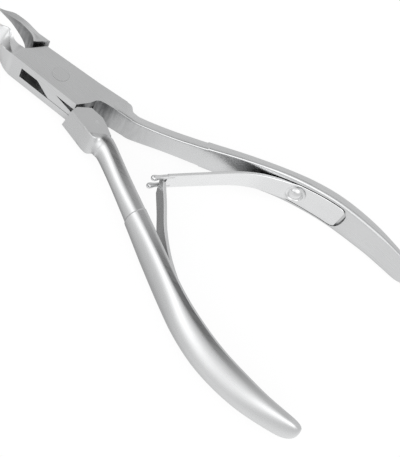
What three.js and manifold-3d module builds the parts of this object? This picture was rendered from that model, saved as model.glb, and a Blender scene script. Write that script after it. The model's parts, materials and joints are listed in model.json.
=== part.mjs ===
// Cuticle nipper with a box joint and a double leaf spring, in millimetres.
// The origin is on the pivot axis, in the flat underside of the joint. +X points at the handles,
// +Y at the box lever's handle and +Z out of the joint's upper cheek.

import * as THREE from 'three';
import { mergeVertices } from 'three/addons/utils/BufferGeometryUtils.js';
import Module from 'manifold-3d';

const wasm = await Module();
wasm.setup();

// Driving dimensions

const CLOSING_ANGLE = THREE.MathUtils.degToRad( 12 ); // from open to jaws touching
const JOINT_THICKNESS = 6.4;
const SLOT_WIDTH = 2.7; // between the two cheeks of the box lever
const WAIST_THICKNESS = 2.6; // of the inner lever, inside the slot
const PIN_RADIUS = 1.9;
const JAW_RISE = 0.9; // of the inner lever's jaw above the cheek
const TIP_X = - 20.4;
const EDGE_ANGLE = CLOSING_ANGLE / 2 + 0.003; // each open cutting edge, from the -X axis
const EDGE_START_X = - 14.4; // the cutting edge runs from here to the tip
const EDGE_DROP = 1.2; // from the jaw's front face down to the cutting edge
const HANDLE_START_X = 13;
const HANDLE_END_X = 87;
const CROWN = 2; // bulge of a handle's outer face
const HANDLE_CHAMFER = 0.35;
const RING_X = 34; // step around each handle
const RING_STEP = 0.25;
const RING_RAMP = 0.3; // length of the step along X
const END_LENGTH = 6; // rounded end of a handle
const LEAF_THICKNESS = 0.7;
const LEAF_GAP = 0.18; // between a leaf and its handle
const FORK_WIDTH = 4.9;
const MOUNT_WIDTH = 7.4;
const TONGUE_WIDTH = 2.1;
const PRONG_GAP = 2.5;
const SCREW_X = 54.4;
const SCREW_HEAD_RADIUS = 2.6;
const SCREW_SHANK_RADIUS = 1.2;
const SCREW_CLEARANCE = 0.15;

const steel = { color: 0xc4c5c6, roughness: 0.34, metalness: 1 };
const springSteel = { color: 0xd0d1d2, roughness: 0.28, metalness: 1 };

// Solids from three.js geometries, and meshes from solids

function solid( geometry ) {

	geometry.deleteAttribute( 'normal' );
	geometry.deleteAttribute( 'uv' );
	const merged = mergeVertices( geometry, 1e-5 );
	return new wasm.Manifold( new wasm.Mesh( {
		numProp: 3,
		vertProperties: new Float32Array( merged.attributes.position.array ),
		triVerts: new Uint32Array( merged.index.array ),
	} ) );

}

function mesh( name, body, look ) {

	const { vertProperties, triVerts } = body.getMesh();
	const geometry = new THREE.BufferGeometry();
	geometry.setAttribute( 'position', new THREE.BufferAttribute( vertProperties, 3 ) );
	geometry.setIndex( new THREE.BufferAttribute( triVerts, 1 ) );
	geometry.computeVertexNormals();
	const result = new THREE.Mesh( geometry, new THREE.MeshStandardMaterial( look ) );
	result.name = name;
	return result;

}

const points = ( pairs ) => pairs.map( ( [ x, y ] ) => new THREE.Vector2( x, y ) );

// The pairs are XY; the plate fills the heights from low to high.
function plate( pairs, low, high ) {

	const geometry = new THREE.ExtrudeGeometry( new THREE.Shape( points( pairs ) ), {
		depth: high - low,
		bevelEnabled: false,
	} );
	return solid( geometry.translate( 0, 0, low ) );

}

// The pairs are XZ; the block runs across the whole part in Y.
function crossBlock( pairs ) {

	const reach = 60;
	const geometry = new THREE.ExtrudeGeometry( new THREE.Shape( points( pairs ) ), {
		depth: 2 * reach,
		bevelEnabled: false,
	} );
	return solid( geometry.rotateX( Math.PI / 2 ).translate( 0, reach, 0 ) );

}

const mirrored = ( pairs ) => pairs.map( ( [ x, y ] ) => [ x, - y ] );

const turned = ( [ x, y ], angle ) => [
	x * Math.cos( angle ) - y * Math.sin( angle ),
	x * Math.sin( angle ) + y * Math.cos( angle ),
];

// Handles: curves of the +Y handle, which the other handle mirrors

const outerEdge = new THREE.SplineCurve( points( [
	[ HANDLE_START_X, 4.6 ], [ 19, 5.7 ], [ 29, 11.2 ], [ 41.6, 18.1 ], [ 50, 22.8 ],
	[ 57, 26.3 ], [ 64, 28.1 ], [ 74, 28.6 ], [ 80, 27.9 ], [ HANDLE_END_X, 26.3 ],
] ) );
const innerEdge = new THREE.SplineCurve( points( [
	[ HANDLE_START_X, 2.4 ], [ 20, 4.2 ], [ 31, 10.1 ], [ 41.6, 16.1 ], [ 50.5, 20.7 ],
	[ 58, 23.6 ], [ 65.5, 25.3 ], [ 75, 25.9 ], [ 81, 25.6 ], [ HANDLE_END_X, 24.9 ],
] ) );

// Where a curve that runs along +X reaches the given x
function atX( curve, x ) {

	let low = 0;
	let high = 1;
	for ( let i = 0; i < 30; i ++ ) {

		const middle = ( low + high ) / 2;
		if ( curve.getPoint( middle ).x < x ) low = middle;
		else high = middle;

	}

	return curve.getPoint( low );

}

const handleWidth = new THREE.SplineCurve( points( [
	[ HANDLE_START_X, 5.8 ], [ 25, 5.9 ], [ 32, 6.6 ], [ 43, 8.4 ],
	[ 56, 8.8 ], [ 66, 8.7 ], [ 76, 8 ], [ HANDLE_END_X, 7 ],
] ) );

// Ring of section points, as [ out, up ] pairs: flat inside and on both sides, and crowned outside
const CROWN_STEPS = 10;
function handleSection( width, thickness, crown ) {

	const half = width / 2;
	const chamfer = Math.min( HANDLE_CHAMFER, thickness / 3 );
	const ring = [ [ 0, chamfer - half ], [ 0, half - chamfer ], [ chamfer, half ] ];
	for ( let i = 0; i <= CROWN_STEPS; i ++ ) {

		const side = Math.cos( Math.PI * i / CROWN_STEPS );
		ring.push( [ thickness + crown * ( 1 - side * side ), half * side ] );

	}

	ring.push( [ chamfer, - half ] );
	return ring;

}

const SECTION_POINTS = CROWN_STEPS + 5;

// Distances along X at which the handle's section is drawn, closer together around the ring and the end
function handleStations() {

	const xs = [];
	const beforeRing = RING_X - HANDLE_START_X;
	for ( let i = 0; i < 7; i ++ ) xs.push( HANDLE_START_X + beforeRing * i / 6.6 );
	xs.push( RING_X - RING_RAMP / 2, RING_X + RING_RAMP / 2 );
	const endStart = HANDLE_END_X - END_LENGTH;
	for ( let i = 1; i <= 14; i ++ ) xs.push( RING_X + ( endStart - RING_X ) * i / 14 );
	for ( let i = 1; i <= 7; i ++ ) xs.push( endStart + END_LENGTH * Math.sin( Math.PI / 2 * i / 7.4 ) );
	return xs;

}

const END_CENTRE = 0.8; // from the inner face to the middle of each end's flat cap

// A cylinder whose rings are bent onto the handle's sections
function handle() {

	const xs = handleStations();
	const rings = xs.map( ( x ) => {

		const inner = atX( innerEdge, x );
		const outer = atX( outerEdge, x );
		const ahead = atX( innerEdge, Math.min( x + 0.5, HANDLE_END_X ) );
		const behind = atX( innerEdge, x - 0.5 );
		const along = ahead.sub( behind ).normalize();
		const outward = new THREE.Vector2( - along.y, along.x );
		const intoEnd = Math.max( 0, x - ( HANDLE_END_X - END_LENGTH ) ) / END_LENGTH;
		const rounding = Math.cbrt( 1 - intoEnd ** 3 );
		const beforeRing = x < RING_X ? RING_STEP : 0;
		const width = atX( handleWidth, x ).y * rounding - 2 * beforeRing;
		const thickness = outward.dot( outer.clone().sub( inner ) ) - beforeRing / 2;
		const crown = CROWN * ( 0.25 + 0.75 * rounding ) - beforeRing / 2;
		return { inner, outward, ring: handleSection( width, thickness, crown ) };

	} );
	const geometry = new THREE.CylinderGeometry( 1, 1, xs.length - 1, SECTION_POINTS, xs.length - 1 );
	const position = geometry.attributes.position;
	const place = new THREE.Vector3();
	for ( let i = 0; i < position.count; i ++ ) {

		place.fromBufferAttribute( position, i );
		const { inner, outward, ring } = rings[ Math.round( place.y + ( xs.length - 1 ) / 2 ) ];
		const turn = Math.atan2( place.x, place.z ) / ( 2 * Math.PI );
		const onAxis = Math.hypot( place.x, place.z ) < 0.5;
		const corner = Math.round( ( 1 - turn ) * SECTION_POINTS ) % SECTION_POINTS;
		const [ out, up ] = onAxis ? [ END_CENTRE, 0 ] : ring[ corner ];
		position.setXYZ( i, inner.x + outward.x * out, inner.y + outward.y * out, up );

	}

	return solid( geometry );

}

// Jaw of the inner lever, drawn open; the box lever's jaw is its mirror image

const edgeY = ( x ) => - x * Math.tan( EDGE_ANGLE );
const JAW_FRONT = JOINT_THICKNESS / 2 + JAW_RISE;
const JAW_HEEL_X = - 10.4;

function jaw( front ) {

	const outline = [
		[ - 7, 4.3 ], [ - 11.9, 4.6 ], [ - 16.3, 4.1 ], [ - 18.6, 3.2 ], [ TIP_X, edgeY( TIP_X ) + 0.15 ],
		[ TIP_X, edgeY( TIP_X ) ], [ EDGE_START_X, edgeY( EDGE_START_X ) ],
		[ - 12.4, 2.3 ], [ JAW_HEEL_X, 1.9 ], [ - 8.75, 2.1 ],
	];
	const low = - JOINT_THICKNESS / 2;
	const edgeHeight = front - EDGE_DROP;
	const blank = plate( outline, low, front );

	// The back of the jaw rises towards the tip.
	const back = crossBlock( [
		[ - 8, low - 1 ], [ - 9.5, low ], [ - 13, low + 0.7 ], [ - 17.5, low + 2.6 ],
		[ TIP_X - 1, edgeHeight - 0.9 ], [ TIP_X - 1, low - 1 ],
	] );

	// Bevels slope from the cutting edge up to the front face and down to the back.
	const reach = 3;
	const frontBevel = bevelAlongEdge( [
		[ - 1, edgeHeight - 1e-3 ], [ 0, edgeHeight ], [ 1.3, front + 1e-3 ],
		[ 1.3, front + 1 ], [ - 1, front + 1 ],
	] );
	const backBevel = bevelAlongEdge( [
		[ - 1, edgeHeight + 1e-3 ], [ - 1, low - reach ], [ 1.8, low - reach ],
		[ 1.5, low ], [ 0, edgeHeight ],
	] );
	return blank.subtract( back ).subtract( frontBevel ).subtract( backBevel );

}

// A long prism along the open cutting edge; the pairs are [ away from the other jaw, up ].
function bevelAlongEdge( pairs ) {

	const length = 14;
	const geometry = new THREE.ExtrudeGeometry( new THREE.Shape( points( pairs ) ), {
		depth: length,
		bevelEnabled: false,
	} );
	geometry.rotateX( Math.PI / 2 ).rotateZ( Math.PI / 2 );
	geometry.translate( TIP_X - 1, 0, 0 ).rotateZ( - EDGE_ANGLE );
	return solid( geometry );

}

// Levers

const cylinderUp = ( radius, low, high ) => solid(
	new THREE.CylinderGeometry( radius, radius, high - low, 48 )
		.rotateX( Math.PI / 2 ).translate( 0, 0, ( low + high ) / 2 ),
);

const HALF = JOINT_THICKNESS / 2;
const SPARE = 1.5 * Math.PI / 180; // turning clearance beyond the closed position

// Walls of the inner lever's waist, open; the slot's walls are the same lines turned past closed.
const waistFrontWall = [ [ 1.8, - 3.8 ], [ - 2.7, - 2 ], [ - 9.2, 1.3 ] ];
const waistBackWall = [ [ - 1.8, 4.1 ], [ 2.7, 2 ], [ 9.2, - 1.1 ] ];

const cheekOutline = [
	[ - 10.8, - 4.7 ], [ 7.5, - 3.4 ], [ 8.3, - 1.9 ], [ 9.2, - 0.5 ], [ 9.7, 1.2 ], [ 11.3, 1.7 ],
	[ 14.6, 2.4 ], [ 17, 3.2 ], [ 17, 5.9 ], [ 15.8, 6.7 ], [ 6.9, 5.4 ], [ - 7, 3.4 ],
	[ - 8.6, 0.2 ], [ - 9.9, - 1.5 ],
];

function boxLever() {

	const slot = SLOT_WIDTH / 2;
	const closedWall = ( wall ) => wall.map( ( point ) => turned( point, CLOSING_ANGLE + SPARE ) );
	const cheeks = plate( cheekOutline, - HALF, HALF );
	const [ , slotBack, slotHeel ] = closedWall( waistBackWall );
	const [ , , jawHeel ] = closedWall( waistFrontWall );
	const window = plate( [
		[ - 6.8, - 6 ], [ 12, - 6 ], [ 12, slotHeel[ 1 ] ], [ 9.4, slotHeel[ 1 ] ], slotHeel,
		[ 3.5, slotBack[ 1 ] ], [ 3.5, 7 ], [ - 12, 7 ], [ - 12, jawHeel[ 1 ] ], jawHeel, [ - 6.8, - 1.6 ],
	], - slot, slot );
	const body = cheeks.subtract( window );
	const ownJaw = jaw( HALF ).mirror( [ 0, 1, 0 ] ).intersect( crossBlock( [
		[ - 25, - 9 ], [ - 9.6, - 9 ], [ - 9.6, 9 ], [ - 25, 9 ],
	] ) );
	return body.add( ownJaw ).add( handle() );

}

function innerLever() {

	const waist = WAIST_THICKNESS / 2;
	const handleRoot = plate( [
		[ 7.7, - 4.3 ], [ 10.1, - 1.2 ], [ 13.7, - 1.3 ], [ 17, - 3.1 ], [ 17, - 5.9 ],
		[ 15.8, - 6.7 ], [ 7.4, - 5.1 ],
	], - HALF, HALF );
	const core = plate( [
		[ 11, - 1.2 ], [ 11, - 4.6 ], [ 7.4, - 4.9 ], ...waistFrontWall,
		[ - 10.2, 2 ], [ - 10.2, 4.4 ], [ - 7, 4.3 ], ...waistBackWall,
	], - waist, waist );
	return core.add( handleRoot ).add( jaw( JAW_FRONT ) ).add( handle().mirror( [ 0, 1, 0 ] ) );

}

// Leaf springs and their screws, drawn for the +Y handle

// The handle's inner face at x: a point on it and the direction along it
function onHandle( x ) {

	const along = atX( innerEdge, x + 0.5 ).sub( atX( innerEdge, x - 0.5 ) ).normalize();
	return { point: atX( innerEdge, x ), along };

}

const FORK_ROOT_X = 32.7;
const FORK_END_X = 29.6;
const TONGUE_ROOT_X = 33.4;
const TONGUE_END_X = 30.7;
const LEAF_LYING_X = 52; // from here to the end the leaf lies on the handle
const LEAF_END_X = 65.5;

const forkPath = [ [ FORK_END_X, - 3.8 ], [ 31.7, - 1.1 ], [ 36.6, 5.3 ], [ 41.3, 11.4 ], [ 47.4, 17 ] ];
const tonguePath = [ [ TONGUE_END_X, - 0.3 ], [ 31.7, 1.1 ], [ 34.8, 5.2 ], [ 40.8, 12.2 ], [ 47, 17.3 ] ];

// A strip of constant thickness that follows the path and then lies along the handle
function leafStrip( freePath ) {

	const offset = LEAF_THICKNESS / 2 + LEAF_GAP;
	const lying = [];
	for ( let x = LEAF_LYING_X; x <= LEAF_END_X; x += 1.5 ) {

		const { point, along } = onHandle( x );
		lying.push( [ point.x + along.y * offset, point.y - along.x * offset ] );

	}

	const path = new THREE.SplineCurve( points( [ ...freePath, ...lying ] ) );
	const steps = 36;
	const sides = [ [], [] ];
	for ( let i = 0; i <= steps; i ++ ) {

		const middle = path.getPointAt( i / steps );
		const along = path.getTangentAt( i / steps );
		for ( const [ side, list ] of sides.entries() ) {

			const out = ( side - 0.5 ) * LEAF_THICKNESS;
			list.push( [ middle.x - along.y * out, middle.y + along.x * out ] );

		}

	}

	return plate( [ ...sides[ 0 ], ...sides[ 1 ].reverse() ], - MOUNT_WIDTH, MOUNT_WIDTH );

}

// The strip's outline seen from the side: narrow towards the joint, wide and round-ended on the handle
function leafOutline() {

	const half = MOUNT_WIDTH / 2;
	const upperSide = [ [ FORK_END_X - 1, FORK_WIDTH / 2 ], [ 33, FORK_WIDTH / 2 ], [ 48, half ] ];
	const roundEnd = [];
	for ( let i = 0; i <= 12; i ++ ) {

		const turn = Math.PI * i / 12;
		roundEnd.push( [ LEAF_END_X - half + half * Math.sin( turn ), half * Math.cos( turn ) ] );

	}

	return crossBlock( [ ...upperSide, ...roundEnd, ...mirrored( upperSide ).reverse() ] );

}

// A shape turned about +Y, moved onto the handle's inner face with +Y pointing into the handle
function onScrewAxis( geometry ) {

	const { point, along } = onHandle( SCREW_X );
	return solid( geometry.rotateZ( Math.atan2( along.y, along.x ) ).translate( point.x, point.y, 0 ) );

}

const SCREW_DEPTH = 1.6;
const SCREW_SEGMENTS = 32;

function springScrew() {

	const seat = - LEAF_GAP - LEAF_THICKNESS - 0.1;
	const headHeight = 0.6;
	const profile = [
		[ 0, seat - headHeight ], [ 0.6 * SCREW_HEAD_RADIUS, seat - headHeight ],
		[ 0.9 * SCREW_HEAD_RADIUS, seat - 0.6 * headHeight ], [ SCREW_HEAD_RADIUS, seat - 0.2 ],
		[ SCREW_HEAD_RADIUS, seat ], [ SCREW_SHANK_RADIUS, seat ],
		[ SCREW_SHANK_RADIUS, SCREW_DEPTH ], [ 0, SCREW_DEPTH ],
	];
	return onScrewAxis( new THREE.LatheGeometry( points( profile ), SCREW_SEGMENTS ) );

}

function screwHole() {

	const length = 2 * ( SCREW_DEPTH + SCREW_CLEARANCE );
	const radius = SCREW_SHANK_RADIUS + SCREW_CLEARANCE;
	return onScrewAxis( new THREE.CylinderGeometry( radius, radius, length, SCREW_SEGMENTS ) );

}

function forkedLeaf() {

	const half = PRONG_GAP / 2;
	const gap = crossBlock( [
		[ FORK_END_X - 2, - half ], [ FORK_ROOT_X - 0.5, - half ], [ FORK_ROOT_X, 0.5 - half ],
		[ FORK_ROOT_X, half - 0.5 ], [ FORK_ROOT_X - 0.5, half ], [ FORK_END_X - 2, half ],
	] );
	return leafStrip( forkPath ).intersect( leafOutline() ).subtract( gap ).subtract( screwHole() );

}

function tongueLeaf() {

	const half = TONGUE_WIDTH / 2;
	const notch = crossBlock( [
		[ TONGUE_END_X - 2, half ], [ TONGUE_ROOT_X - 0.4, half ], [ TONGUE_ROOT_X, half + 0.4 ],
		[ TONGUE_ROOT_X, FORK_WIDTH ], [ TONGUE_END_X - 2, FORK_WIDTH ],
	] );
	return leafStrip( tonguePath ).intersect( leafOutline() )
		.subtract( notch ).subtract( notch.mirror( [ 0, 0, 1 ] ) ).subtract( screwHole() );

}

// Assembly

const overX = [ 0, 1, 0 ]; // mirror between the +Y and -Y handles
const PIN_FIT = 0.01;
const BORE_CLEARANCE = 0.05;
const nipper = new THREE.Group();
nipper.add(
	mesh( 'box_lever', boxLever().subtract( screwHole() )
		.subtract( cylinderUp( PIN_RADIUS + PIN_FIT, - HALF - 1, HALF + 1 ) ), steel ),
	mesh( 'inner_lever', innerLever().subtract( screwHole().mirror( overX ) )
		.subtract( cylinderUp( PIN_RADIUS + BORE_CLEARANCE, - HALF - 1, HALF + 1 ) ), steel ),
	mesh( 'pivot_pin', cylinderUp( PIN_RADIUS, - HALF, HALF ), steel ),
	mesh( 'upper_leaf_spring', forkedLeaf(), springSteel ),
	mesh( 'lower_leaf_spring', tongueLeaf().mirror( overX ), springSteel ),
	mesh( 'upper_spring_screw', springScrew(), springSteel ),
	mesh( 'lower_spring_screw', springScrew().mirror( overX ), springSteel ),
);
nipper.position.z = HALF;

export default nipper;
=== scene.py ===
import json
import math

import bmesh
import bpy
from mathutils import Matrix, Vector


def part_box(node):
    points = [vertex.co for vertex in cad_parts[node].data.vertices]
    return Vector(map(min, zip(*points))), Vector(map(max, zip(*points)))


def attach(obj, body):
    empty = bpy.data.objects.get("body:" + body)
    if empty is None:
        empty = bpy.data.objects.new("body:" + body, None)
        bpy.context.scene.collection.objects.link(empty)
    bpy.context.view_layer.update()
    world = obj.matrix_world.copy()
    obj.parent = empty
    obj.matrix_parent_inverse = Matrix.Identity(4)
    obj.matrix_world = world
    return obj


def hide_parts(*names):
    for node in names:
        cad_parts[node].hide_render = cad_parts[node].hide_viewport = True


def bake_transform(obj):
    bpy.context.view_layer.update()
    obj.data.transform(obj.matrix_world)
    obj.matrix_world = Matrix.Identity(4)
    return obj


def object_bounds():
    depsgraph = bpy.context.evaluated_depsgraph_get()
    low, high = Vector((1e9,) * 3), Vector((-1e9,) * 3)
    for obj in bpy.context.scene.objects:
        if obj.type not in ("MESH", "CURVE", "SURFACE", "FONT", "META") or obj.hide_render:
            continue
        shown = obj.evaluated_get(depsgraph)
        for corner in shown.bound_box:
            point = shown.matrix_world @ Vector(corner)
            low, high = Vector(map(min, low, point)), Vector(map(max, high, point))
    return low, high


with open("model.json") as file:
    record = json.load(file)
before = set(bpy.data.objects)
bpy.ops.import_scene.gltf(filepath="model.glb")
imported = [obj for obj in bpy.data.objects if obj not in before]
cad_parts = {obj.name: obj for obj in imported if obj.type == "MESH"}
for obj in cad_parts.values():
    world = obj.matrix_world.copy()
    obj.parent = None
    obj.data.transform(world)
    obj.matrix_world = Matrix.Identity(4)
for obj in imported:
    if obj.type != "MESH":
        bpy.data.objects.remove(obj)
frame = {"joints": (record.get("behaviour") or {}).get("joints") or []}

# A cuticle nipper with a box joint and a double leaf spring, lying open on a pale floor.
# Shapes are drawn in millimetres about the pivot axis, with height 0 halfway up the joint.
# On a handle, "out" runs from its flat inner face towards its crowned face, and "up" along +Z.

MM = 0.001
cad_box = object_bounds()
pin_low, pin_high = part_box("pivot_pin")
lever_low, lever_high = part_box("box_lever")
MIDDLE = (pin_low.z + pin_high.z) / 2  # in metres
HALF = (pin_high.z - pin_low.z) / 2 / MM  # half the joint's thickness
PIN_RADIUS = (pin_high.x - pin_low.x) / 2 / MM
TIP_X = lever_low.x / MM
HANDLE_END_X = lever_high.x / MM
HANDLE_WIDTH = (lever_high.z - lever_low.z) / MM
CLOSING_ANGLE = math.radians(frame["joints"][0]["range_deg"][1])


# ---------------------------------------------------------------- curves and meshes

class Curve:
    """A smooth curve through points that run along +X."""

    BISECTIONS = 26
    SPAN = 0.4  # each way along X, to find the direction

    def __init__(self, *points):
        self.points = [Vector(p) for p in points]

    def at(self, t):
        """The point at t, which runs from 0 to 1."""
        last = len(self.points) - 1
        i = min(int(t * last), last - 1)
        w = t * last - i
        p1, p2 = self.points[i], self.points[i + 1]
        p0 = self.points[max(i - 1, 0)]
        p3 = self.points[min(i + 2, last)]
        v0, v1 = (p2 - p0) / 2, (p3 - p1) / 2
        return (2 * p1 - 2 * p2 + v0 + v1) * w**3 + (3 * p2 - 3 * p1 - 2 * v0 - v1) * w**2 + v0 * w + p1

    def at_x(self, x):
        low, high = 0.0, 1.0
        for _ in range(self.BISECTIONS):
            middle = (low + high) / 2
            if self.at(middle).x < x:
                low = middle
            else:
                high = middle
        return self.at(low)

    def y(self, x):
        return self.at_x(x).y

    def along(self, x):
        """The direction at x."""
        return (self.at_x(x + self.SPAN) - self.at_x(x - self.SPAN)).normalized()


def smooth_step(x, start, end):
    """Rises smoothly from 0 at start to 1 at end."""
    t = max(0.0, min(1.0, (x - start) / (end - start)))
    return t * t * (3 - 2 * t)


def spread(start, end, count):
    """Evenly spaced stations from start, without the end."""
    return [start + (end - start) * i / count for i in range(count)]


def closing_up(start, length, steps, count):
    """Stations that crowd together towards a rounded end; only the first count of the steps are given."""
    return [start + length * math.sin(math.pi / 2 * i / steps) for i in range(count)]


def circle(radius, sides):
    turns = [2 * math.pi * i / sides for i in range(sides)]
    return [(radius * math.cos(turn), radius * math.sin(turn)) for turn in turns]


def mesh_object(name, points, faces):
    """A mesh from points in millimetres, with its faces pointing out."""
    same_place = 1e-7  # metres
    mesh = bpy.data.meshes.new(name)
    mesh.from_pydata([(x * MM, y * MM, z * MM + MIDDLE) for x, y, z in points], [], faces)
    made = bmesh.new()
    made.from_mesh(mesh)
    bmesh.ops.remove_doubles(made, verts=made.verts, dist=same_place)
    bmesh.ops.recalc_face_normals(made, faces=made.faces)
    if made.calc_volume(signed=True) < 0:
        bmesh.ops.reverse_faces(made, faces=made.faces)
    made.to_mesh(mesh)
    made.free()
    obj = bpy.data.objects.new(name, mesh)
    bpy.context.scene.collection.objects.link(obj)
    return obj


def loft(name, rings):
    """A closed skin over rings of points, with a flat cap on each end."""
    count = len(rings[0])
    points = [p for ring in rings for p in ring]
    faces = [list(range(count)), list(range(len(points) - count, len(points)))]
    for r in range(len(rings) - 1):
        for i in range(count):
            j = (i + 1) % count
            faces.append([r * count + i, r * count + j, (r + 1) * count + j, (r + 1) * count + i])
    return mesh_object(name, points, faces)


def prism(name, outline, low, high):
    """A plate with an XY outline."""
    return loft(name, [[(x, y, low) for x, y in outline], [(x, y, high) for x, y in outline]])


def cross_prism(name, outline):
    """A bar across the whole part in Y, with an XZ outline."""
    reach = 60
    return loft(name, [[(x, -reach, z) for x, z in outline], [(x, reach, z) for x, z in outline]])


def cylinder(name, radius, low, high):
    return prism(name, circle(radius, 96), low, high)


def lathe(name, profile, sides=64):
    """A turned shape about +Y; the profile is (radius, y) from end to end."""
    obj = loft(name, [[(x, y, z) for x, z in circle(radius, sides)] for radius, y in profile])
    obj.data.transform(Matrix.Translation((0, 0, -MIDDLE)))
    return obj


def apply_modifiers(obj):
    graph = bpy.context.evaluated_depsgraph_get()
    mesh = bpy.data.meshes.new_from_object(obj.evaluated_get(graph))
    obj.modifiers.clear()
    obj.data = mesh
    return obj


def combine(obj, operation, *tools):
    """Joins or cuts obj with each tool, and deletes the tools."""
    for tool in tools:
        modifier = obj.modifiers.new("combine", "BOOLEAN")
        modifier.operation = operation
        modifier.solver = "EXACT"
        modifier.object = tool
        apply_modifiers(obj)
        bpy.data.objects.remove(tool)
    return obj


def mirror_y(obj):
    obj.data.transform(Matrix.Diagonal((1, -1, 1, 1)))
    obj.data.flip_normals()
    return obj


EDGE_ROUND = 0.06
LEVER_CREASE = 28  # degrees; edges that turn further stay sharp in the shading
SPRING_CREASE = 40


def soften(obj):
    """Rounds the edges and shades the rest smoothly."""
    bevel = obj.modifiers.new("soften", "BEVEL")
    bevel.width = EDGE_ROUND * MM
    bevel.segments = 2
    bevel.limit_method = "ANGLE"
    bevel.angle_limit = math.radians(LEVER_CREASE)
    bevel.use_clamp_overlap = True
    bevel.harden_normals = False
    apply_modifiers(obj)
    return shade(obj, LEVER_CREASE)


def shade(obj, crease):
    """Shades smoothly, apart from the creases, and keeps large flat faces flat."""
    made = bmesh.new()
    made.from_mesh(obj.data)
    limit = math.radians(crease)
    for face in made.faces:
        face.smooth = True
    for edge in made.edges:
        edge.smooth = edge.is_boundary or edge.calc_face_angle(0.0) < limit
    made.to_mesh(obj.data)
    made.free()
    weighted = obj.modifiers.new("weighted", "WEIGHTED_NORMAL")
    weighted.keep_sharp = True
    weighted.weight = 80
    return apply_modifiers(obj)


# ---------------------------------------------------------------- handles, drawn for the +Y lever

inner_edge = Curve((11.5, 2.3), (13.2, 2.7), (17, 3.4), (20, 4.3), (31, 10.1), (41.6, 16.1), (50.5, 20.7),
                   (58, 23.5), (65.5, 25.2), (75, 25.9), (81, 25.8), (HANDLE_END_X, 25.2))
peak_line = Curve((11, 6.15), (13, 6.54), (15.3, 6.97), (17.5, 7.15), (20.5, 8.4), (29, 13.2), (41.6, 20.0),
                  (50, 24.5), (56, 27.5), (62, 29.5), (68, 30.3), (74, 30.2), (80, 29.0),
                  (HANDLE_END_X, 26.9))
width_along = Curve((11, 6.4), (14, 6.4), (17, 6.3), (25, 5.9), (32, 6.6), (43, 8.3), (56, HANDLE_WIDTH),
                    (66, 8.7), (76, 8.0), (HANDLE_END_X, 6.6))
band_along = Curve((11, 2.2), (17, 1.9), (34, 1.8), (52, 1.55), (66, 1.4), (HANDLE_END_X, 1.0))
HANDLE_START_X = 13
ROOT_X = 15.3  # the squared root ends here
ROOT_BLEND = 2.4  # and turns into the crowned handle over this length
ROOT_SQUARENESS = 22
RING_X = 34  # a step around the handle
RING_STEP = 0.2
NECK = (18, 30)  # the handle slims down to the step along here
RING_SPAN = 0.3  # on each side of the ring the stations lie closer
END_LENGTH = 4.5
BAND_SLOPE = math.tan(math.radians(14))
FLAT_STEPS = 4
CHAMFER_STEPS = 6
CROWN_STEPS = 28


def out_of_handle(x):
    """The point on the inner face at x and the direction out of it."""
    along = inner_edge.along(min(x, HANDLE_END_X - 0.5))
    return inner_edge.at_x(x), Vector((-along.y, along.x))


def on_handle(x, out):
    inner, outward = out_of_handle(x)
    return inner + outward * out


def inner_chamfer(x):
    """The round beside the inner face: fine at the joint, and largest where the leaf lies."""
    at_joint, on_neck, at_leaf = 0.08, 0.32, 0.35
    chamfer = at_joint + on_neck * smooth_step(x, 12, 16)
    return chamfer + at_leaf * smooth_step(x, 42, 54) - at_leaf * smooth_step(x, 74, 82)


def shrunk(least, rounding):
    """A factor that falls from 1 to least as the end rounds off."""
    return least + (1 - least) * rounding


def flat_inside(half, chamfer):
    """The inner face from its middle, and the round beside it, as (out, up)."""
    side = [(0, (half - chamfer) * i / FLAT_STEPS) for i in range(FLAT_STEPS + 1)]
    for i in range(1, CHAMFER_STEPS + 1):
        turn = math.pi / 2 * i / CHAMFER_STEPS
        side.append((chamfer * (1 - math.cos(turn)), half - chamfer + chamfer * math.sin(turn)))
    return side


def crowned_outside(crease, peak, half, handle_part):
    """From the crease to the peak, as (out, up): elliptical, but nearly square at the root."""
    squareness = 2 + ROOT_SQUARENESS * (1 - handle_part) ** 3
    start = math.atan(BAND_SLOPE * handle_part * (peak - crease) / max(half, 0.1))
    side = []
    for i in range(CROWN_STEPS + 1):
        turn = start + (math.pi / 2 - start) * i / CROWN_STEPS
        out = (math.sin(turn) ** (2 / squareness) - math.sin(start)) / (1 - math.sin(start))
        up = max(0.0, math.cos(turn) / math.cos(start)) ** (2 / squareness)
        side.append((crease + (peak - crease) * out, half * up))
    return side


def handle_section(x, end_x):
    """The ring at x: flat inside, chamfered, a narrow band that slopes to the crease, crowned outside."""
    inner, outward = out_of_handle(x)
    into_end = max(0.0, x - (end_x - END_LENGTH)) / END_LENGTH
    rounding = (1 - into_end**3) ** (1 / 3)
    handle_part = smooth_step(x, ROOT_X, ROOT_X + ROOT_BLEND)
    past_ring = smooth_step(x, RING_X - 0.15, RING_X + 0.1)
    before_ring = RING_STEP * (1 - past_ring) * smooth_step(x, *NECK)
    half = width_along.y(x) / 2 * rounding - before_ring
    peak = outward.dot(peak_line.at_x(x) - inner) * shrunk(0.35, rounding) - before_ring
    crease = min(peak * 0.7, band_along.y(x) * shrunk(0.3, rounding))
    chamfer = min(inner_chamfer(x) * shrunk(0.25, rounding), crease * 0.8)
    slope_start = max(chamfer, crease * 0.5)
    drop = (crease - slope_start) * BAND_SLOPE * handle_part
    side = flat_inside(half, chamfer) + [(slope_start, half)]
    side += crowned_outside(crease, peak, half - drop, handle_part)
    ring = side + [(out, -up) for out, up in reversed(side[1:-1])]
    return [(inner.x + outward.x * out, inner.y + outward.y * out, up) for out, up in ring]


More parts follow.
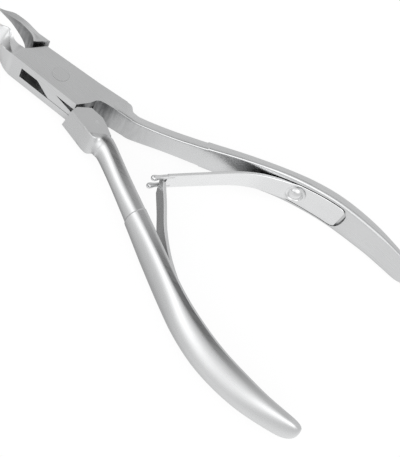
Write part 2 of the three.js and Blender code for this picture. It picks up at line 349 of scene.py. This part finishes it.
def handle(name, end_x):
    root_end = ROOT_X + ROOT_BLEND
    end_start = end_x - END_LENGTH
    stations = spread(HANDLE_START_X, ROOT_X, 3) + spread(ROOT_X, root_end, 14)
    stations += spread(root_end, RING_X - RING_SPAN, 22)
    stations += spread(RING_X - RING_SPAN, RING_X + RING_SPAN, 12)
    stations += spread(RING_X + RING_SPAN, end_start, 60) + closing_up(end_start, END_LENGTH, 22, 21)
    return loft(name, [handle_section(x, end_x) for x in stations])


# ---------------------------------------------------------------- leaf springs, drawn for the +Y handle

LEAF_THICKNESS = 0.7
LEAF_END_X = 66.8
LEAF_ROUND = 2.6  # length of the rounded end
LEAF_SQUARENESS = 2.4  # 2 would be an elliptical end
SEAT_DEPTH = 0.6  # of the recess in the handle
SEAT_START_X = 51.0
SEAT_SPARE = 0.25  # around the leaf
LEAF_LIFT = 0.04  # above the recess
SCREW_X = 54.4
SCREW_DEPTH = 1.7
FORK_END_X = 29.75
FORK_ROOT_X = 31.9
PRONG_SPACING = 3.0
PRONG_BALL = 0.68
PRONG_NECK = 0.5
TONGUE_END_X = 31.0
TONGUE_HALF = 0.72
LEAF_SHOULDER = 1.7  # each side of the tongue

lying = [tuple(on_handle(x, SEAT_DEPTH - LEAF_THICKNESS / 2 - LEAF_LIFT)) for x in range(54, 67, 2)]
fork_path = Curve((29.5, -4.0), (31.0, -1.6), (32.6, 0.6), (36.6, 6.1), (42.1, 13.4), (46.1, 17.35),
                  (50, 19.95), (52, 21.1), *lying)
tongue_path = Curve((30.9, 0.1), (31.4, 1.0), (32.2, 2.3), (35.7, 6.5), (39.9, 11.8), (44.6, 16.3),
                    (50, 20.1), (52, 21.15), *lying)
leaf_width = Curve((28, 4.5), (33, 4.6), (40, 4.8), (46, 5.2), (53, 6.0), (60, 6.6), (68, 6.7))


def leaf_half_width(x, spare=0.0):
    half = leaf_width.y(x) / 2 + spare
    into_end = max(0.0, x - (LEAF_END_X + spare - LEAF_ROUND)) / LEAF_ROUND
    return half * max(0.0, 1 - min(into_end, 1) ** LEAF_SQUARENESS) ** (1 / LEAF_SQUARENESS)


def leaf_stations(start):
    round_start = LEAF_END_X - LEAF_ROUND
    return spread(start, round_start, 70) + closing_up(round_start, LEAF_ROUND, 16, 16)


def strip(name, path, stations, half_width, below, above, edge=0.08):
    """A strip along the path, from below to above it, with a small bevel on each edge."""
    least_half = 0.05
    rings = []
    for x in stations:
        middle, along = path.at_x(x), path.along(x)
        outward = Vector((-along.y, along.x))
        half = max(half_width(x), least_half)
        corner = min(edge, half * 0.4)
        section = [(below, half - corner), (below + corner, half)]
        section += [(above - corner, half), (above, half - corner)]
        section += [(out, -up) for out, up in reversed(section)]
        rings.append([(middle.x + outward.x * out, middle.y + outward.y * out, up) for out, up in section])
    return loft(name, rings)


def prong_radius(from_tip):
    """A ball at the tip and a thinner neck behind it."""
    if from_tip < PRONG_BALL:
        return math.sqrt(max(0.002, 1 - (1 - from_tip / PRONG_BALL) ** 2)) * PRONG_BALL
    return PRONG_NECK + (PRONG_BALL - PRONG_NECK) * (1 - smooth_step(from_tip, PRONG_BALL, 2.0))


def prong(name, side):
    """A round rod with a ball end, above (+1) or below (-1) the middle."""
    root_spread = 0.12
    rings = []
    start = fork_path.at_x(FORK_END_X)
    for x in spread(FORK_END_X, FORK_ROOT_X + 1, 40):
        middle, along = fork_path.at_x(x), fork_path.along(x)
        outward = Vector((-along.y, along.x))
        radius = prong_radius((middle - start).length)
        centre = side * (PRONG_SPACING / 2 + root_spread * smooth_step(x, 31, 32.5))
        ring = []
        for across, height in circle(1, 20):
            out = min(radius, LEAF_THICKNESS) * across
            ring.append((middle.x + outward.x * out, middle.y + outward.y * out, centre + radius * height))
        rings.append(ring)
    return loft(name, rings)


def screw_frame(x):
    """A matrix that puts +Y along the way out of the handle's inner face at x."""
    inner, outward = out_of_handle(x)
    angle = math.atan2(outward.y, outward.x) - math.pi / 2
    return Matrix.Translation((inner.x * MM, inner.y * MM, MIDDLE)) @ Matrix.Rotation(angle, 4, "Z")


def screw_hole():
    radius = 1.3
    hole = lathe("hole", [(radius, -2), (radius, SCREW_DEPTH + 0.05)], 40)
    hole.data.transform(screw_frame(SCREW_X))
    return hole


def spring_screw(name):
    """A domed head with a ring groove and a rim, and a short shank."""
    seat = SEAT_DEPTH - LEAF_THICKNESS - 0.1
    axis, shank = 0.02, 1.2
    dome = [(axis, 0.75), (0.5, 0.72), (1.0, 0.6), (1.4, 0.38), (1.6, 0.14), (1.75, 0.05)]
    rim = [(1.95, 0.12), (2.1, 0.36), (2.3, 0.42), (2.5, 0.34), (2.6, 0.15), (2.6, 0)]
    profile = [(radius, seat - height) for radius, height in dome + rim]
    profile += [(shank, seat), (shank, SCREW_DEPTH), (axis, SCREW_DEPTH)]
    screw = lathe(name, profile)
    screw.data.transform(screw_frame(SCREW_X))
    return shade(screw, SPRING_CREASE)


def spring_pocket():
    """The recess in the handle that a leaf lies in."""
    run_in = 3
    stations = [x for x in leaf_stations(SEAT_START_X - run_in) if x > SEAT_START_X - run_in]
    stretched = [x + SEAT_SPARE * smooth_step(x, 60, LEAF_END_X) for x in stations]

    def half_width(x):
        return leaf_half_width(x, SEAT_SPARE)

    return strip("pocket", inner_edge, stretched, half_width, -2.0, SEAT_DEPTH, 0.02)


def upper_leaf():
    half = LEAF_THICKNESS / 2
    leaf = strip("upper_leaf_steel", fork_path, leaf_stations(FORK_ROOT_X), leaf_half_width, -half, half)
    combine(leaf, "UNION", prong("far_prong", 1), prong("near_prong", -1))
    combine(leaf, "DIFFERENCE", screw_hole())
    return shade(leaf, SPRING_CREASE)


def lower_leaf():
    half = LEAF_THICKNESS / 2

    def half_width(x):
        shoulder = smooth_step(x, 31.5, 32.5)
        return min(leaf_half_width(x), TONGUE_HALF + LEAF_SHOULDER * shoulder)

    leaf = strip("lower_leaf_steel", tongue_path, leaf_stations(TONGUE_END_X), half_width, -half, half)
    combine(leaf, "DIFFERENCE", screw_hole())
    return shade(mirror_y(leaf), SPRING_CREASE)


# ---------------------------------------------------------------- jaws, drawn open on the +Y side

EDGE_ANGLE = CLOSING_ANGLE / 2 + 0.003  # each open cutting edge, from the -X axis
TIP_Y = -TIP_X * math.tan(EDGE_ANGLE)
TIP_Z = 3.4
CORNER_X = -14.05  # where the cutting edge ends
CORNER = (CORNER_X, -CORNER_X * math.tan(EDGE_ANGLE), 5.4)
JAW_END_X = -9.4  # of the box lever's jaw
JAW_STEPS = 8
HOLLOW = 0.35  # depth of the hollow-ground inner side
cutting_edge = [(TIP_X, TIP_Y, TIP_Z), (-18.3, 1.98, 4.05), (-16.2, 1.75, 4.75), CORNER]
tip_back = [(TIP_X, TIP_Y + 0.05, 3.0), (-18.3, 2.5, 2.5), (-16.5, 2.65, 2.0), (-14.8, 2.6, 1.4),
            (-13.3, 2.6, 0.6)]
outer_back = [(TIP_X, TIP_Y + 0.14, 3.0), (-18.3, 3.1, 2.3), (-16, 3.9, 1.2), (-14, 4.5, 0),
              (-12, 4.75, -1.6)]

# Long edges of each jaw from the tip to the joint: inside and outside on the front, then on the back.
# The ridge parts the front face in two.
inner_lever_rails = {
    "inside": Curve(*cutting_edge, (-13.2, 1.9, 4.95), (-12.2, 2.1, 4.65), (-11.1, 2.15, 4.4),
                    (-10.1, 1.85, 4.2), (-9.35, 1.2, 4.1), (-8.6, 0.8, 4.1), (-6.8, 0.6, 4.1)),
    "ridge": Curve((TIP_X, TIP_Y + 0.06, TIP_Z), (-18.2, 2.6, 4.05), (-16, 3.0, 4.4), (-13.5, 3.2, 4.4),
                   (-10.7, 3.0, 4.2), (-8.9, 2.9, 4.1), (-6.8, 2.9, 4.1)),
    "outside": Curve((TIP_X, TIP_Y + 0.12, TIP_Z), (-19, 2.7, 3.75), (-17.4, 3.65, 3.95), (-16, 4.0, 4.02),
                     (-13.7, 4.15, 4.08), (-12, 4.0, 4.1), (-10.1, 3.85, 4.1), (-8.9, 4.0, 4.1),
                     (-6.8, 4.3, 4.1)),
    "back_outside": Curve(*outer_back, (-10.7, 4.6, -2.6), (-9.3, 4.4, -3.15), (-6.8, 4.2, -3.2)),
    "back_inside": Curve(*tip_back, (-12.2, 2.6, -0.2), (-11.4, 2.5, -1.2), (-10.4, 2.1, -2.4),
                         (-9.2, 1.4, -3.1), (-6.8, 0.9, -3.2)),
}
box_lever_rails = {
    "inside": Curve(*cutting_edge, (-13.4, 1.75, 4.95), (-12.8, 1.9, 4.6), (-11.8, 1.85, 3.85),
                    (-10.8, 1.5, 3.3), (-9.9, 1.2, HALF), (JAW_END_X, 1.13, HALF)),
    "ridge": Curve((TIP_X, TIP_Y + 0.04, TIP_Z), (-18.2, 2.1, 4.0), (-16, 1.95, 4.7), (-14.1, 1.75, 5.3),
                   (-13.1, 2.5, 4.3), (-11.7, 3.5, 3.6), (-10.2, 4.25, HALF), (JAW_END_X, 4.4, HALF)),
    "outside": Curve((TIP_X, TIP_Y + 0.12, TIP_Z), (-18.2, 3.2, 3.4), (-16, 4.1, 3.3), (-13.4, 4.7, 3.15),
                     (-11.5, 4.75, 3.15), (JAW_END_X, 4.61, HALF)),
    "back_outside": Curve(*outer_back, (-10.7, 4.75, -2.6), (JAW_END_X, 4.61, -HALF)),
    "back_inside": Curve(*tip_back, (-12.2, 2.6, -0.2), (-11.4, 2.5, -1.2), (-10.4, 1.9, -2.6),
                         (JAW_END_X, 1.13, -HALF)),
}


def jaw(name, rails):
    """A jaw lofted over its rails, hollow inside."""
    end_x = rails["inside"].points[-1].x
    rings = []
    for x in spread(TIP_X, end_x, 80) + [end_x]:
        corners = [rail.at_x(x) for rail in rails.values()]
        hollow = HOLLOW * smooth_step(x, TIP_X + 2, CORNER_X + 1) * (1 - smooth_step(x, -10.5, end_x))
        # One arch for each face: front inside and outside the ridge, outer side, back, inner side
        bulges = (-0.15 * hollow, 0, 0.4 * hollow, 0, hollow)
        ring = []
        for i, bulge in enumerate(bulges):
            start, end = corners[i], corners[(i + 1) % len(corners)]
            for j in range(JAW_STEPS):
                across = start.lerp(end, j / JAW_STEPS)
                arch = bulge * math.sin(math.pi * j / JAW_STEPS)
                ring.append((x, across.y + (arch if i > 0 else 0), across.z + (arch if i == 0 else 0)))
        rings.append(ring)
    return loft(name, rings)


# ---------------------------------------------------------------- levers

SLOT_HALF = 1.35
WAIST_HALF = 1.3
SPARE = math.radians(1.5)  # turning clearance beyond the closed position
PIN_FIT = 0.02
BORE_CLEARANCE = 0.05
LOWER_HANDLE_SHORTER = 1.2
THROUGH = HALF + 1  # height of a tool that cuts through the joint

# Walls of the inner lever's waist, open; the slot's walls are the same lines turned past closed.
waist_front = [(1.8, -3.0), (-2.7, -1.6), (-9.2, 1.3)]
waist_back = [(-1.8, 4.1), (2.7, 2), (9.2, -1.1)]
root_back = [tuple(inner_edge.at_x(x)) for x in (12.2, 13.2, 14)]
cheek_outline = [(JAW_END_X, -4.61), (7.5, -3.4), (8.3, -1.9), (9.0, -0.5), (9.5, 1.2), (10.1, 1.8),
                 (11.2, 2.2), *root_back, (14, 6.73), (6.9, 5.4), (-7, 3.4), (-8.6, 0.2), (-9.3, -1.0),
                 (JAW_END_X, -1.13)]
waist_outline = [(11, -1.2), (11, -4.6), (7.9, -4.6), (7.6, -2.4), (2.5, -2.8), *waist_front,
                 (-10.2, 2), (-10.2, 4.4), (-7, 4.3), *waist_back]
root_outline = [(7.0, -4.7), (8.0, -3.8), (10.1, -1.3), (13.4, -1.3), (15.2, -2.15), (17.6, -3.5),
                (16, -4.6), (14, -6.72), (6.9, -5.09)]
heel_outline = [(-7.1, 6), (-7.1, 4.3), (-8.75, 1.75), (-9.4, 1.05), (-10.4, 0.5), (-10.4, -2), (-5, -2),
                (-5, 6)]


def turned(point, angle):
    x, y = point
    return (x * math.cos(angle) - y * math.sin(angle), x * math.sin(angle) + y * math.cos(angle))


def slot_window():
    """The opening between the cheeks that the waist turns in."""
    slot_back, slot_heel = [turned(point, CLOSING_ANGLE + SPARE) for point in waist_back[1:]]
    jaw_heel = turned(waist_front[2], CLOSING_ANGLE + SPARE)
    outline = [(-6.8, -6), (12, -6), (12, slot_heel[1]), (9.4, slot_heel[1]), slot_heel,
               (3.5, slot_back[1]), (3.5, 7), (-12, 7), (-12, jaw_heel[1]), jaw_heel, (-6.8, -1.6)]
    return prism("window", outline, -SLOT_HALF, SLOT_HALF)


def box_lever():
    body = prism("box_lever_steel", cheek_outline, -HALF, HALF)
    own_jaw = mirror_y(jaw("own_jaw", box_lever_rails))
    combine(body, "UNION", own_jaw, handle("own_handle", HANDLE_END_X))
    combine(body, "DIFFERENCE", slot_window(), cylinder("bore", PIN_RADIUS + PIN_FIT, -THROUGH, THROUGH))
    combine(body, "DIFFERENCE", spring_pocket(), screw_hole())
    return soften(body)


def inner_lever_jaw():
    """The proud jaw, cut away over and under the waist where the cheeks pass it."""
    own_jaw = jaw("own_jaw", inner_lever_rails)
    reach = 9
    for low, high in ((-reach, -SLOT_HALF), (SLOT_HALF, reach)):
        combine(own_jaw, "DIFFERENCE", prism("heel", heel_outline, low, high))
    return own_jaw


def waist_block():
    """The block of the waist that shows in the slot's opening, about level with the cheeks' edge."""
    block = prism("flush", [(-4, -4.15), (7.7, -3.33), (7.7, -1), (-4, -1.2)], -WAIST_HALF, WAIST_HALF)
    slant = [(-2.7, SLOT_HALF), (2.2, SLOT_HALF), (7.3, -0.1), (7.7, -SLOT_HALF), (1.1, -SLOT_HALF)]
    return combine(block, "INTERSECT", cross_prism("slant", slant))


def inner_lever_root():
    """The block that the lower handle grows out of, with a slanted wall towards the cheeks."""
    root = prism("root", root_outline, -HALF, HALF)
    combine(root, "DIFFERENCE", cross_prism("root_slant", [(5, 4), (8.13, 4), (6.82, -4), (5, -4)]))
    return combine(root, "UNION", mirror_y(handle("own_handle", HANDLE_END_X - LOWER_HANDLE_SHORTER)))


def inner_lever():
    body = prism("inner_lever_steel", waist_outline, -WAIST_HALF, WAIST_HALF)
    combine(body, "UNION", waist_block(), inner_lever_jaw(), inner_lever_root())
    combine(body, "DIFFERENCE", cylinder("bore", PIN_RADIUS + BORE_CLEARANCE, -THROUGH, THROUGH))
    combine(body, "DIFFERENCE", mirror_y(spring_pocket()), mirror_y(screw_hole()))
    return soften(body)


def pivot_pin():
    """The pin, ground almost flush with the cheeks."""
    proud = 0.02
    return shade(cylinder("pivot_pin_steel", PIN_RADIUS, -HALF - proud, HALF + proud), LEVER_CREASE)


# ---------------------------------------------------------------- materials

# the colour that painted shade darkens towards
PAINTED_SHADE_COLOUR = (0.1, 0.102, 0.105, 1)
UPRIGHT_STREAKS = (1500, 1500, 250)  # noise cells per metre along each axis
LENGTHWISE_GRAIN = (90, 2600, 2600)
GRAIN_HEIGHT = 0.02


def node(tree, kind, **inputs):
    """A shader node; an underscore in an input's name stands for a space."""
    made = tree.nodes.new(kind)
    for name, value in inputs.items():
        made.inputs[name.replace("_", " ")].default_value = value
    return made


def math_node(tree, operation, first, second):
    """A sum, product or the like of two values, each a number or a socket."""
    made = tree.nodes.new("ShaderNodeMath")
    made.operation = operation
    for socket, value in zip(made.inputs, (first, second)):
        if isinstance(value, bpy.types.NodeSocket):
            tree.links.new(value, socket)
        else:
            socket.default_value = value
    return made.outputs[0]


def dot_product(tree, socket, direction):
    made = tree.nodes.new("ShaderNodeVectorMath")
    made.operation = "DOT_PRODUCT"
    made.inputs[1].default_value = direction
    tree.links.new(socket, made.inputs[0])
    return made.outputs["Value"]


def map_range(tree, value, start, end, low=0.0, high=1.0):
    """Maps start..end smoothly onto low..high."""
    made = node(tree, "ShaderNodeMapRange", From_Min=start, From_Max=end, To_Min=low, To_Max=high)
    made.interpolation_type = "SMOOTHSTEP"
    tree.links.new(value, made.inputs["Value"])
    return made.outputs["Result"]


def stretched_noise(tree, place, scale, **inputs):
    """Noise drawn out along the axis with the smallest scale."""
    stretch = tree.nodes.new("ShaderNodeMapping")
    stretch.inputs["Scale"].default_value = scale
    tree.links.new(place.outputs["Object"], stretch.inputs["Vector"])
    noise = node(tree, "ShaderNodeTexNoise", Scale=1.0, **inputs)
    tree.links.new(stretch.outputs["Vector"], noise.inputs["Vector"])
    return noise.outputs["Fac"]


def painted_shade_zone(tree, base, place, side, rise, fall, strength):
    """Paints shade onto the faces that look to one side, between two soft limits in X, in uneven upright
    streaks.
    """
    position = tree.nodes.new("ShaderNodeSeparateXYZ")
    tree.links.new(place.outputs["Object"], position.inputs[0])
    after_start = map_range(tree, position.outputs["X"], rise[0] * MM, rise[1] * MM)
    before_end = map_range(tree, position.outputs["X"], fall[0] * MM, fall[1] * MM, 1.0, 0.0)
    barely_facing, fully_facing = 0.25, 0.6  # cosines
    facing = dot_product(tree, place.outputs["Normal"], side)
    towards_side = map_range(tree, facing, barely_facing, fully_facing)
    streaks = stretched_noise(tree, place, UPRIGHT_STREAKS, Detail=2.0)
    uneven = map_range(tree, streaks, 0.3, 0.7, 0.75 * strength, strength)
    inside = math_node(tree, "MULTIPLY", after_start, before_end)
    amount = math_node(tree, "MULTIPLY", inside, math_node(tree, "MULTIPLY", towards_side, uneven))
    dark = tree.nodes.new("ShaderNodeMix")
    dark.data_type = "RGBA"
    dark.inputs["B"].default_value = PAINTED_SHADE_COLOUR
    tree.links.new(amount, dark.inputs["Factor"])
    tree.links.new(base, dark.inputs["A"])
    return dark.outputs["Result"]


def smudged(tree, place, colour):
    """The steel's colour with faint, uneven smudges."""
    smudge = node(tree, "ShaderNodeTexNoise", Scale=160.0, Detail=4.0, Roughness=0.55)
    tree.links.new(place.outputs["Object"], smudge.inputs["Vector"])
    tone = tree.nodes.new("ShaderNodeMix")
    tone.data_type = "RGBA"
    darker, lighter = 0.94, 1.04
    tone.inputs["A"].default_value = [c * darker for c in colour] + [1]
    tone.inputs["B"].default_value = [min(1, c * lighter) for c in colour] + [1]
    tree.links.new(smudge.outputs["Fac"], tone.inputs["Factor"])
    return tone.outputs["Result"]


def paint_crevice_shade(tree, base):
    """Paints shade into the corners and crevices: darkens the colour where ambient occlusion finds them."""
    crevice = node(tree, "ShaderNodeAmbientOcclusion", Distance=3.5 * MM)
    crevice.samples = 8
    crevice_shade_range = node(tree, "ShaderNodeMapRange", From_Min=0.2, From_Max=0.8, To_Min=0.6)
    tree.links.new(crevice.outputs["AO"], crevice_shade_range.inputs["Value"])
    darken = tree.nodes.new("ShaderNodeMix")
    darken.data_type = "RGBA"
    darken.blend_type = "MULTIPLY"
    darken.inputs["Factor"].default_value = 1
    tree.links.new(base, darken.inputs["A"])
    tree.links.new(crevice_shade_range.outputs["Result"], darken.inputs["B"])
    return darken.outputs["Result"]


def steel(name, colour, roughness, streaks=1.0, painted_shade_zones=()):
    """Satin stainless steel: fine streaks, faint smudges, painted shade in the corners and zones of painted
    shade.
    """
    material = bpy.data.materials.new(name)
    material.use_nodes = True
    tree = material.node_tree
    surface = tree.nodes["Principled BSDF"]
    surface.inputs["Metallic"].default_value = 1
    place = tree.nodes.new("ShaderNodeTexCoord")
    # painted shade in corners and crevices, then the painted shade zones
    base = paint_crevice_shade(tree, smudged(tree, place, colour))
    for zone in painted_shade_zones:
        base = painted_shade_zone(tree, base, place, *zone)
    tree.links.new(base, surface.inputs["Base Color"])
    grain = stretched_noise(tree, place, LENGTHWISE_GRAIN, Detail=3.0, Roughness=0.6)
    smoother, rougher = roughness - 0.05, roughness + 0.06
    rough = node(tree, "ShaderNodeMapRange", To_Min=smoother, To_Max=rougher)
    tree.links.new(grain, rough.inputs["Value"])
    tree.links.new(rough.outputs["Result"], surface.inputs["Roughness"])
    bump = node(tree, "ShaderNodeBump", Strength=0.12 * streaks, Distance=GRAIN_HEIGHT * MM)
    tree.links.new(grain, bump.inputs["Height"])
    tree.links.new(bump.outputs["Normal"], surface.inputs["Normal"])
    return material


# ---------------------------------------------------------------- light, floor and camera

BASE_LIGHT = 0.7
# Soft patches of light around the tool: direction, tightness and amount; a negative one is a dark card.
light_patches = [
    ((-0.725, -0.577, 0.355), 10, 0.8),
    ((0.585, -0.559, 0.567), 14, 1.3),
    ((-0.285, 0.217, 0.93), 24, -0.45),
    ((-0.08, 0.14, 0.989), 30, -0.5),
    ((-0.25, -0.9, 0.33), 5, 0.5),
    ((0.1, -0.6, -0.79), 8, 0.18),
    ((-0.578, 0.3, -0.785), 8, -0.5),
    ((0.61, 0.096, -0.785), 6, 0.3),
]
FLOOR_REACH = 6000
FLOOR_GAP = 0.02  # below the tool
CAMERA_TARGET = Vector((44.51, -3.78, 0))
CAMERA_DISTANCE = 188.3
SENSOR_HEIGHT = 36
CAMERA_LENS = 69.9204


def light_patch(tree, direction, tightness, amount):
    """amount * max(0, cos(angle to direction)) ** tightness"""
    place = tree.nodes.new("ShaderNodeTexCoord")
    cosine = dot_product(tree, place.outputs["Generated"], Vector(direction).normalized())
    facing = math_node(tree, "MAXIMUM", cosine, 0)
    return math_node(tree, "MULTIPLY", math_node(tree, "POWER", facing, tightness), amount)


def studio():
    world = bpy.data.worlds.new("studio")
    world.use_nodes = True
    bpy.context.scene.world = world
    tree = world.node_tree
    total = BASE_LIGHT
    for patch in light_patches:
        total = math_node(tree, "ADD", total, light_patch(tree, *patch))
    background = tree.nodes["Background"]
    background.inputs["Color"].default_value = (1, 1, 1, 1)
    tree.links.new(total, background.inputs["Strength"])


def floor():
    """Pale paper, mostly self-lit, that the steel doesn't reflect."""
    top = (cad_box[0].z - MIDDLE) / MM - FLOOR_GAP
    reach = FLOOR_REACH
    obj = prism("floor", [(-reach, -reach), (reach, -reach), (reach, reach), (-reach, reach)], top - 2, top)
    material = bpy.data.materials.new("floor_paper")
    material.use_nodes = True
    tree = material.node_tree
    tree.nodes.clear()
    glow = node(tree, "ShaderNodeEmission", Strength=1.06)
    paper = node(tree, "ShaderNodeBsdfDiffuse", Color=(0.9, 0.9, 0.9, 1))
    mix = node(tree, "ShaderNodeMixShader", Fac=0.15)
    out = tree.nodes.new("ShaderNodeOutputMaterial")
    tree.links.new(glow.outputs[0], mix.inputs[1])
    tree.links.new(paper.outputs[0], mix.inputs[2])
    tree.links.new(mix.outputs[0], out.inputs["Surface"])
    obj.data.materials.append(material)
    obj.visible_glossy = False


def camera():
    """Seen from the front and above, turned about its own axis."""
    azimuth, elevation, roll = math.radians(-84.22), math.radians(51.73), math.radians(37.04)
    back = Vector((math.cos(elevation) * math.cos(azimuth), math.cos(elevation) * math.sin(azimuth),
                   math.sin(elevation)))
    right = (-back).cross(Vector((0, 0, 1))).normalized()
    up = right.cross(-back)
    turned_right = right * math.cos(roll) + up * math.sin(roll)
    turned_up = up * math.cos(roll) - right * math.sin(roll)
    place = (CAMERA_TARGET + back * CAMERA_DISTANCE) * MM + Vector((0, 0, MIDDLE))
    data = bpy.data.cameras.new("camera")
    data.sensor_width = SENSOR_HEIGHT  # Blender fits the width to the longer side
    data.lens = CAMERA_LENS
    data.clip_start = 0.01
    obj = bpy.data.objects.new("camera", data)
    bpy.context.scene.collection.objects.link(obj)
    axes = Matrix((turned_right, turned_up, back)).transposed().to_4x4()
    obj.matrix_world = Matrix.Translation(place) @ axes
    bpy.context.scene.camera = obj


# ---------------------------------------------------------------- assembly

def dress(obj, material, node_name):
    obj.data.materials.clear()
    obj.data.materials.append(material)
    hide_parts(node_name)
    return obj


def bend(leaf):
    """Bakes the leaf's placement into its mesh; the leaf stays as it is drawn, on the +Y or -Y side."""
    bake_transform(leaf)


# A zone of painted shade: the side its faces look to, where it starts and ends along X, and its strength.
# The painted shade on the hollow is in both jaws, so its side is added for each lever.
# painted shade on the hollow-ground inner sides of the jaws
hollow = ((-22, -11.5), (-8.2, -7.6), 0.8)
# painted shade on the box lever's wall beside the inner lever's root
notch = ((0.5, -0.85, 0), (7.3, 8.2), (11.2, 15.5), 0.85)
# weaker painted shade running on along the handle's inner face
notch_shade_tail = ((0.5, -0.85, 0), (7.3, 8.2), (14, 30), 0.42)
# painted shade on the inner lever's jaw faces that look up
jaw_top_shade = ((0, 0, 1), (-26, -25), (-16, -11), 0.34)
LEVER_COLOUR = (0.72, 0.725, 0.73)
LEVER_ROUGHNESS = 0.28
box_steel = steel("box_lever_steel", LEVER_COLOUR, LEVER_ROUGHNESS,
                  painted_shade_zones=[((0, 1, 0), *hollow), notch, notch_shade_tail])
inner_steel = steel("inner_lever_steel", LEVER_COLOUR, LEVER_ROUGHNESS,
                    painted_shade_zones=[((0, -1, 0), *hollow), jaw_top_shade])
pin_steel = steel("pin_steel", (0.7, 0.705, 0.71), 0.26)
spring_steel = steel("spring_steel", (0.84, 0.845, 0.85), 0.26, 0.4)
screw_steel = steel("screw_steel", (0.8, 0.805, 0.81), 0.2)

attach(dress(box_lever(), box_steel, "box_lever"), "box_lever")
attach(dress(inner_lever(), inner_steel, "inner_lever"), "inner_lever")
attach(dress(pivot_pin(), pin_steel, "pivot_pin"), "box_lever")
upper_screw = spring_screw("upper_screw_steel")
lower_screw = mirror_y(spring_screw("lower_screw_steel"))
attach(dress(upper_screw, screw_steel, "upper_spring_screw"), "box_lever")
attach(dress(lower_screw, screw_steel, "lower_spring_screw"), "inner_lever")
fork = dress(upper_leaf(), spring_steel, "upper_leaf_spring")
tongue = dress(lower_leaf(), spring_steel, "lower_leaf_spring")
bend(fork)
bend(tongue)

studio()
floor()
camera()
bpy.context.scene.view_settings.view_transform = "Standard"
